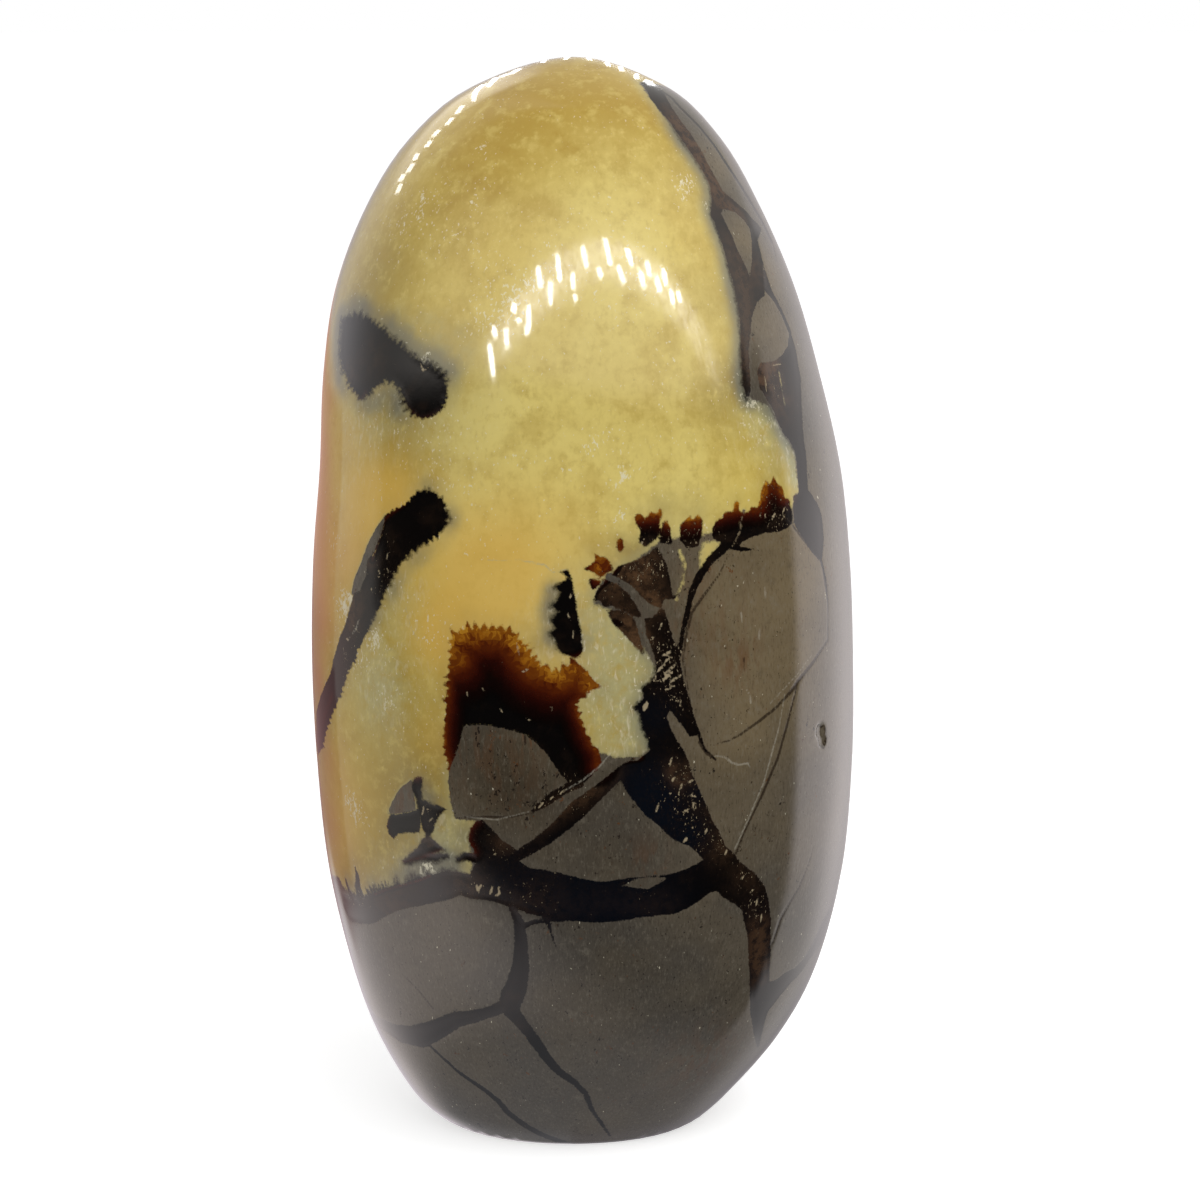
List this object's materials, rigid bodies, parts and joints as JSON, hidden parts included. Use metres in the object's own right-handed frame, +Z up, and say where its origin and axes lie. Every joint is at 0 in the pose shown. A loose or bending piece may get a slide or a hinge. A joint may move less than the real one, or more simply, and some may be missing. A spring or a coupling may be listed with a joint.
{
  "type": "septarian nodule",
  "caption": "Polished egg of septarian stone that stands on a flat ground base: grey mudstone, black veins and cloudy yellow calcite.",
  "frame": {"origin": "centre of the flat base that the stone stands on", "axes": "+Z up along the stone's long axis, -Y out of its front, +X to the right of the front"},
  "size_m": [0.0761, 0.0644, 0.15],
  "materials": {
    "septarian_stone": "high polish; brownish grey mudstone, brown-black veins and cloudy yellow calcite"
  },
  "bodies": {
    "root": {"nodule": "septarian_stone"}
  },
  "joints": []
}
